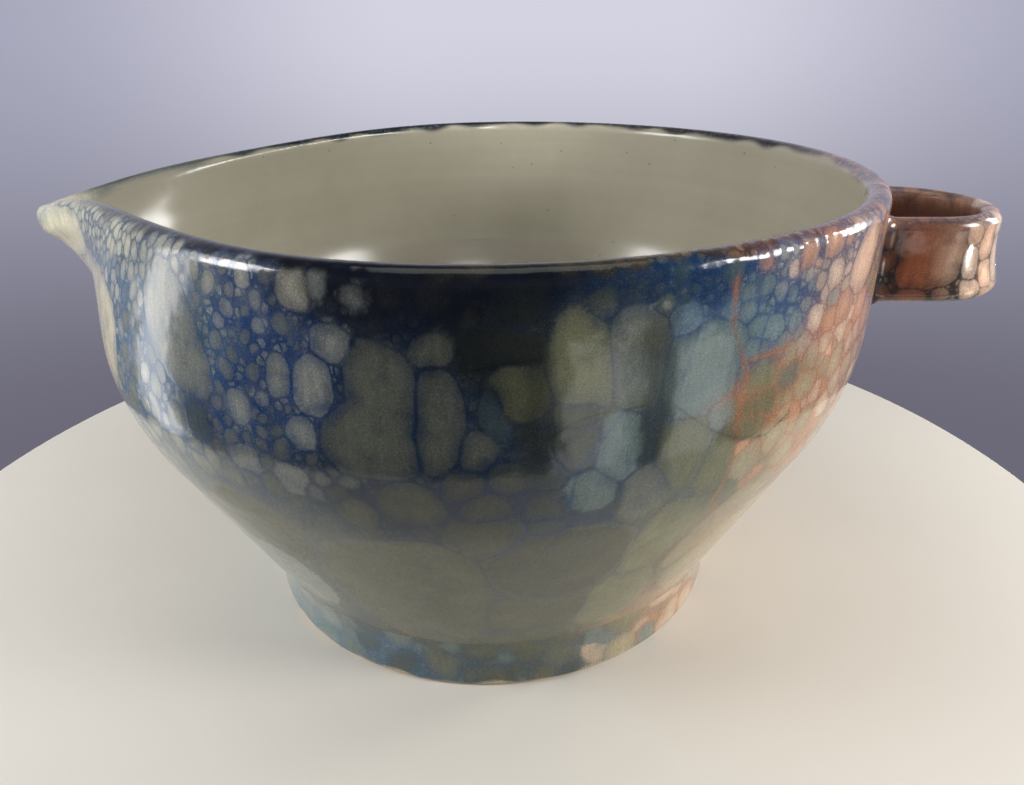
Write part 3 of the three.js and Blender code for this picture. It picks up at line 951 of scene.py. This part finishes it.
def beaded(places):
    """Raises a bead of glaze on each side of the upright wall and the lumps along the rim."""
    x, y, z = places.T
    radius = np.hypot(x, y)
    angle = around(places)
    waves = np.sin(angle * 2.1 + z * 0.9) * np.sin(angle * 1.3 - z * 1.4 + 1)
    waves = waves + 0.6 * np.sin(angle * 3.7 + 2)
    lumpy = LUMP_HEIGHT + LUMP_GROWTH * between(angle, *LUMPY_PART)
    raised = waves * lumpy * ease(z - LIP_LEVEL, *LUMP_EDGE)
    across = np.radians(np.abs(angle) - BEAD_PLACE[0]) * RIM_RADIUS
    up = z - SHOULDER_HEIGHT - BEAD_PLACE[1] + shoulder_along
    raised = raised + BEAD_HEIGHT * np.exp(-2 * (across ** 2 + up ** 2) / BEAD_RADIUS ** 2)
    out = radius - rim_centre.x
    over = np.maximum(z - LIP_LEVEL, 0)
    length = np.hypot(out, over)
    moved = radius + raised * out / length
    return np.column_stack([x * moved / radius, y * moved / radius, z + raised * over / length])


def painted_dark_reflections(cell, wall, folded, along):
    """Paints dark reflections into the cells and walls, as bands with ragged sides like runs of the glaze.
    """
    for band in DARK_REFLECTIONS:
        off = np.abs(folded - band.around + 0.3 * np.sin(along / 3) + 0.15 * np.sin(along * 1.1))
        sides = 1 - ease(off / band.half, *BAND_SIDE)
        ends = ease(along - band.low, *BAND_START) * (1 - ease(along - band.high, *BAND_END))
        dark = (band.strength * sides * ends)[:, None]
        cell = blend(cell, SHADOW, dark)
        wall = blend(wall, SHADOW, dark)
    return cell, wall


def seamed(mesh, wall, folded, along):
    """Colours the walls along the seams, and keeps how far each place is from the nearest seam."""
    seam_off = np.full(len(along), FAR_OFF)
    half = np.ones(len(along))
    for seam in SEAMS:
        away = seam_distance(seam, folded, along)
        near = SEAM_SHARE * np.exp(-(away / SEAM_SPREAD) ** 2)[:, None]
        wall = blend(wall, seam.colour, near)
        nearer = np.abs(away) < np.abs(seam_off)
        seam_off = np.where(nearer, away, seam_off)
        half = np.where(nearer, seam.half, half)
    swing = np.clip(seam_off / SEAM_REACH, -1, 1) * math.pi
    keep(mesh, "seam", np.column_stack([np.sin(swing), np.cos(swing), half]))
    return wall


def rimmed(mesh, cell, wall, angle, along):
    """Gives the rim its own colours, darker at the back, and keeps where the liner laps over its inside."""
    edge = washed(RIM_WASHES, angle, np.zeros(len(angle)))[:, :6]
    behind = BACK_SHADE * between(-angle, *BACK_PART)[:, None]
    edge = blend(edge, np.concatenate([SLATE, NIGHT]), behind)
    waved = along + 0.9 * np.sin(angle / 2.3) + 0.5 * np.sin(angle * 1.7)
    on_rim = ease(waved - lip_along, *RIM_EDGE)[:, None]
    drips = 1.1 * np.sin(angle * 0.23) * np.sin(angle * 0.31 + 2)
    drips = drips + 0.3 * np.sin(angle * 0.67 + angle / 9)
    keep(mesh, "lap", ease(along + drips - lip_along, *LAP_EDGE))
    return blend(cell, edge[:, :3], on_rim), blend(wall, edge[:, 3:], on_rim)


def outer_coat(material):
    """Bubble glaze from the crease up over the rim, with a thin back against the clay."""
    rim_top = lip_along + rim_length / 2
    rim_end = lip_along + rim_length
    front = spaced(0, cone_length, BELLY_STEP) + spaced(cone_length, lip_along, UPRIGHT_STEP)
    front += spaced(lip_along, rim_end, RIM_STEP) + spaced(rim_end, lap_along, LAP_STEP) + [lap_along]
    back = spaced(lap_along, rim_top, BACK_RIM_STEP) + spaced(rim_top, 0, BACK_STEP) + [0]
    section = [skin(along) for along in front] + [skin(along, GLAZE) for along in back]
    shape = turned(section, front + back, COAT_SIDES)
    piece, places = finished(shape, "outer_bubble_glaze", lambda points: pulled(beaded(points)))
    froth = Froth(COAT_SEED, skin_radius, NAMED_BUBBLES)
    froth.mirror(MIRROR_SHIFT, MIRROR_CHANGE)
    for field in COAT_FIELDS:
        froth.scatter(field)
    along = kept(piece.data, "along")
    angle = around(places)

    def lines_and_rim(cell, wall):
        folded = np.abs(angle)
        cell, wall = painted_dark_reflections(cell, wall, folded, along)
        wall = seamed(piece.data, wall, folded, along)
        return rimmed(piece.data, cell, wall, angle, along)

    glaze(piece.data, froth, BOWL_WASHES, angle, along, lines_and_rim)
    dressed(piece, material, "bubble_glaze", "bubble_glaze")


def inner_coat(material):
    """Plain liner from the outer coat's lap down over the floor, with faint throwing rings."""
    inner = SHOULDER_ROUND - WALL
    floor_centre = shoulder_foot - cone_out * (WALL + FLOOR_ROUND)
    floor_centre += cone_up * ((FLOOR_HEIGHT + FLOOR_ROUND - floor_centre.y) / cone_up.y)

    def inside(inset, count):
        top = Vector((RIM_RADIUS - WALL + inset, LAP_LEVEL))
        low = Vector((RIM_RADIUS - WALL + inset, SHOULDER_HEIGHT))
        wall = [top.lerp(low, i / count) for i in range(count)]
        shoulder = arc(shoulder_centre, inner + inset, 0, cone_angle, count)
        floor = arc(floor_centre, FLOOR_ROUND + inset, cone_angle, -math.pi / 2, count)
        belly = [shoulder[-1].lerp(floor[0], i / count) for i in range(1, count)]
        middle = Vector((0, FLOOR_HEIGHT - inset))
        flat = [floor[-1].lerp(middle, i / FLOOR_STEPS) for i in range(1, FLOOR_STEPS + 1)]
        return wall + shoulder + belly + floor + flat

    section = inside(0, LINER_STEPS) + inside(GLAZE, LINER_BACK_STEPS)[::-1]
    shape = turned(section, [0] * len(section), LINER_SIDES, closed=False)

    def ringed(places):
        level = places[:, 2]
        radius = np.hypot(places[:, 0], places[:, 1])
        fade = between(level, RING_START, (LAP_LEVEL - RING_END, LAP_LEVEL))
        wave = RING_DEPTH * np.sin((level - RING_LEVEL) * 2 * math.pi / RING_SPACING) * fade
        share = 1 - wave / np.maximum(radius, 1)
        return pulled(places * np.column_stack([share, share, np.ones(len(share))]))

    piece = finished(shape, "inner_liner_glaze", ringed)[0]
    dressed(piece, material, "liner_glaze", "liner_glaze")


def foot(material):
    """Glazed ring under the crease, wiped bare where it stands."""
    base = Vector((FOOT_RADIUS, FOOT_EDGE))
    waist = Vector((FOOT_RADIUS, (FOOT_EDGE + CREASE_HEIGHT) / 2))
    flank = bend(crease, waist, base, FLANK_STEPS)
    outer = arc(Vector((FOOT_RADIUS - FOOT_EDGE, FOOT_EDGE)), FOOT_EDGE, 0, -math.pi / 2, EDGE_STEPS)
    inner_centre = Vector((FOOT_BORE + FOOT_EDGE, FOOT_EDGE))
    inner = arc(inner_centre, FOOT_EDGE, -math.pi / 2, -math.pi, EDGE_STEPS)
    bore = Vector((FOOT_BORE, SEAT_LEVEL))
    seat = crease - cone_out * GLAZE
    seat_low = seat - cone_up * ((seat.y - SEAT_LEVEL) / cone_up.y)
    section = flank + outer[1:] + inner + [bore, seat_low, seat]
    alongs = [-(crease - point).length for point in section]
    shape = turned(section, alongs, FOOT_SIDES)
    piece, places = finished(shape, "glazed_foot_ring", lambda points: points)
    froth = Froth(FOOT_SEED, lambda along: FOOT_RADIUS)
    for field in FOOT_FIELDS:
        froth.scatter(field)
    angle = around(places)

    def wiped(cell, wall):
        level = places[:, 2] + 0.5 * np.sin(angle / 4) + 0.4 * np.sin(angle / 1.7)
        bare = (1 - ease(level, *BARE_EDGE))[:, None]
        return blend(cell, CLAY, bare), blend(wall, CLAY, bare)

    glaze(piece.data, froth, FOOT_WASHES, angle, kept(piece.data, "along"), wiped)
    dressed(piece, material, "foot_glaze", "foot_ring")


def wall_x(y, height):
    """Where the bowl's outside is on the handle's side."""
    drop = np.maximum(0, SHOULDER_HEIGHT - height)
    radius = shoulder_centre.x + np.sqrt(SHOULDER_ROUND ** 2 - drop ** 2)
    return np.sqrt(radius ** 2 - y ** 2)


def strap_section(count):
    """Outline of the strap as (outward, up), starting at the middle of its inner face, with its hollow."""
    half = STRAP / 2
    centre = STRAP_HEIGHT / 2 - half
    low = arc(Vector((0, -centre)), half, math.pi, 2 * math.pi, count)
    high = arc(Vector((0, centre)), half, 0, math.pi, count)
    outer = bend(low[-1], Vector((half - 2 * STRAP_HOLLOW, 0)), high[0], 2 * count)
    inner = [high[-1].lerp(low[0], i / (2 * count)) for i in range(1, 2 * count)]
    return inner[count - 1:] + low + outer[1:-1] + high + inner[:count - 1]


def handle(material):
    """Strap bent into a loop, with its roots drawn out into the wall."""
    section = strap_section(STRAP_STEPS)
    lengths = [0.0]
    for first, second in zip(section, section[1:]):
        lengths.append(lengths[-1] + (second - first).length)
    root_x = float(wall_x(HANDLE_WIDTH / 2, STRAP_TOP - STRAP_HEIGHT)) - ROOT_SUNK
    root = [(root_x, -LOOP_RADIUS - point.x, STRAP_MIDDLE + point.y) for point in section]
    shape, last = outlined(root, lengths)
    leg = (BEND_X - root_x) / LEG_STEPS
    runs = [((leg, 0, 0), 0, LEG_STEPS), ((0, 0, 0), math.pi, BEND_STEPS), ((-leg, 0, 0), 0, LEG_STEPS)]
    for step, turn, count in runs:
        last = bmesh.ops.spin(shape, geom=last, cent=(BEND_X, 0, 0), axis=(0, 0, 1), dvec=step,
                              angle=turn, steps=count)["geom_last"]
    bmesh.ops.contextual_create(shape, geom=[edge for edge in shape.edges if edge.is_boundary])
    start_x = float(wall_x(HANDLE_WIDTH / 2, STRAP_MIDDLE))
    path = []

    def shaped(places):
        x, y, z = places.T
        turn = np.arctan2(y, np.maximum(x - BEND_X, 1e-6))
        turn = np.where(x > BEND_X, turn, np.sign(y) * math.pi / 2)
        path.append(turn * LOOP_RADIUS + np.sign(y) * np.maximum(0, BEND_X - x))
        half = STRAP_HEIGHT / 2 - STRAP / 2
        spine = np.clip(z, STRAP_MIDDLE - half, STRAP_MIDDLE + half)
        side = y - np.sign(y) * LOOP_RADIUS
        rise_z = z - spine
        size = np.hypot(side, rise_z) + 1e-6
        off = np.clip(x - wall_x(y, z), 0, ROOT_ROUND)
        flare = ROOT_ROUND - np.sqrt(ROOT_ROUND ** 2 - (ROOT_ROUND - off) ** 2)
        flare = np.where(x < BEND_X, flare, 0)
        new_y = y + flare * side / size
        new_z = z + flare * rise_z / size
        new_x = x + np.where(flare > 0, wall_x(new_y, new_z) - wall_x(y, z), 0)
        share = np.maximum(0, (new_x - start_x) / (HANDLE_REACH - start_x))
        new_x = new_x + STRAP_LEAN * share * (STRAP_MIDDLE - new_z) / STRAP_HEIGHT
        return np.column_stack([new_x, new_y, new_z])

    piece, places = finished(shape, "strap_loop_handle", shaped)
    froth = Froth(HANDLE_SEED, lambda along: LOOP_RADIUS, HANDLE_BUBBLES)
    across = np.degrees(path[0] / LOOP_RADIUS)
    along = kept(piece.data, "along")
    froth.scatter(HANDLE_FIELD, both_sides=False)

    # Paints a pale sheen, standing in for reflection and light, on the handle's front, and paints the end
    # paler where light falls on it.
    def painted_sheen(cell, wall):
        off_across = (across - SHEEN_PLACE[0]) / SHEEN_SPREAD[0]
        off_along = (along - SHEEN_PLACE[1]) / SHEEN_SPREAD[1]
        sheen = PAINTED_SHEEN * np.exp(-off_across ** 2 - off_along ** 2)[:, None]
        end_light = 1 + PAINTED_END_LIGHT * ease(across, *END_LIGHT_EDGE)[:, None]
        return blend(cell, PEACH, sheen) * end_light, wall

    glaze(piece.data, froth, HANDLE_WASHES, across, along, painted_sheen, waver=0.2)
    dressed(piece, material, "handle_glaze", "strap_handle", "front_handle_lute", "back_handle_lute")


outer_coat(bubble_finish("bubble_glaze_outside"))
inner_coat(liner_finish())
foot(bubble_finish("bubble_glaze_foot"))
handle(bubble_finish("bubble_glaze_handle"))
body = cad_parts["bowl_body"]
body.data.materials.clear()
body.data.materials.append(stoneware_finish())


# Stage

TABLE_RADIUS = 198
TABLE_MIDDLE = (-6.8, 7.8)
TABLE_THICKNESS = 12
TABLE_SIDES = 256


def table_finish():
    finish = Finish("pale_table")
    finish.set("Base Color", finish.mix(finish.noise(60), tone(231, 227, 217), tone(237, 233, 224)))
    finish.set("Roughness", 0.7)
    return finish.material


def table_top():
    """Round table under the bowl, for the stage only."""
    shape = bmesh.new()
    bmesh.ops.create_cone(shape, cap_ends=True, segments=TABLE_SIDES, radius1=TABLE_RADIUS * MM,
                          radius2=TABLE_RADIUS * MM, depth=TABLE_THICKNESS * MM)
    place = Vector((*TABLE_MIDDLE, -TABLE_THICKNESS / 2)) * MM
    bmesh.ops.translate(shape, verts=shape.verts, vec=place)
    mesh = meshed(shape, "table")
    mesh.materials.append(table_finish())
    piece = linked("table", mesh)


def lamp(name, place, aim, width, height, power, colour, beam=180):
    light = bpy.data.lights.new(name, "AREA")
    light.shape = "RECTANGLE"
    light.size = width
    light.size_y = height
    light.energy = power
    light.spread = math.radians(beam)
    light.color = colour
    thing = linked(name, light)
    turned_to = (Vector(aim) - Vector(place)).to_track_quat("-Z", "Y")
    thing.matrix_world = Matrix.Translation(place) @ turned_to.to_matrix().to_4x4()


# Lamps, in metres and watts, with a beam in degrees
WINDOW = (1, 0.98, 0.97)
WARM = (1, 0.98, 0.95)
WARMER = (1, 0.97, 0.93)
DAYLIGHT = (1, 0.99, 0.97)
MIDDLE = (0, 0, 0.1)
LOWER = (0, 0, 0.08)

table_top()
lamp("left_panel", (-0.46, 0.0, 0.095), MIDDLE, 0.1, 0.49, 0.41, WINDOW)
lamp("left_top", (-0.55, -0.15, 0.3), LOWER, 0.22, 0.22, 2.25, WINDOW)
lamp("right_panel", (0.5, 0.12, 0.2), MIDDLE, 0.08, 0.2, 0.9, WARMER)
lamp("front_right", (0.55, -0.2, 0.3), LOWER, 0.18, 0.18, 2.35, WARM)
lamp("low_panel", (0.265, -0.475, -0.22), MIDDLE, 0.16, 0.28, 0.22, WARM)
lamp("low_right_panel", (0.46, -0.28, -0.3), MIDDLE, 0.16, 0.44, 0.36, WARM)
lamp("top_panel", (0, -0.06, 0.75), (0, 0, 0), 0.6, 0.4, 0.8, DAYLIGHT)
lamp("handle_beam", (0.53, -0.17, 0.0), (0.132, -0.014, 0.1), 0.025, 0.06, 0.0026, WARM, 3.5)
lamp("inner_beam", (0.1, -0.45, 0.5), (0, 0.1, 0.135), 0.1, 0.06, 0.012, DAYLIGHT, 12)


ROOM_LIGHT = tone(96, 95, 101)


class Room(Finish):
    """Soft lavender surroundings, palest beyond the bowl, where they are seen or mirrored."""

    def __init__(self, name):
        self.world = bpy.data.worlds.new(name)
        self.world.use_nodes = True
        self.tree = self.world.node_tree
        self.shader = self.tree.nodes["Background"]
        aim = self.node("TexCoord", {}, {}, "Generated")
        across, ahead, level = self.split(aim)
        aside = self.ease(self.math("ABSOLUTE", across), 0.15, 0.6)
        beyond = self.ease(ahead, -0.4, 0.2)
        far_high = self.mix(aside, tone(212, 211, 226), tone(166, 167, 186))
        high = self.mix(beyond, tone(118, 117, 127), far_high)
        deep = self.mix(beyond, tone(80, 78, 88), tone(108, 106, 120))
        low = self.mix(self.ease(level, -0.42, 0.02), deep, high)
        seen = self.mix(self.ease(level, 0.4, 0.8), low, ROOM_LIGHT)
        rays = [self.node("LightPath", {}, {}, kind)
                for kind in ("Is Camera Ray", "Is Glossy Ray", "Is Transmission Ray")]
        looked_at = self.math("MAXIMUM", rays[0] + rays[1], rays[2])
        self.set("Color", self.mix(looked_at, ROOM_LIGHT, seen))
        bpy.context.scene.world = self.world


Room("soft_room")

# Camera, from the photograph's own view, with turns in radians
CAMERA_PLACE = Vector((8.1, -213.6, 155.6)) * MM
CAMERA_YAW = -0.0386
CAMERA_PITCH = 0.4515
CAMERA_ROLL = -0.0102
CAMERA_LENS = 26.58

camera = bpy.data.cameras.new("camera")
camera.lens = CAMERA_LENS
camera.sensor_width = 36
camera.sensor_fit = "HORIZONTAL"
camera.clip_start = 0.01
view = linked("camera", camera)
level_turn = Matrix.Rotation(-CAMERA_YAW, 4, "Z") @ Matrix.Rotation(math.pi / 2 - CAMERA_PITCH, 4, "X")
turn = level_turn @ Matrix.Rotation(CAMERA_ROLL, 4, "Z")
view.matrix_world = Matrix.Translation(CAMERA_PLACE) @ turn
bpy.context.scene.camera = view
bpy.context.scene.view_settings.view_transform = "Standard"
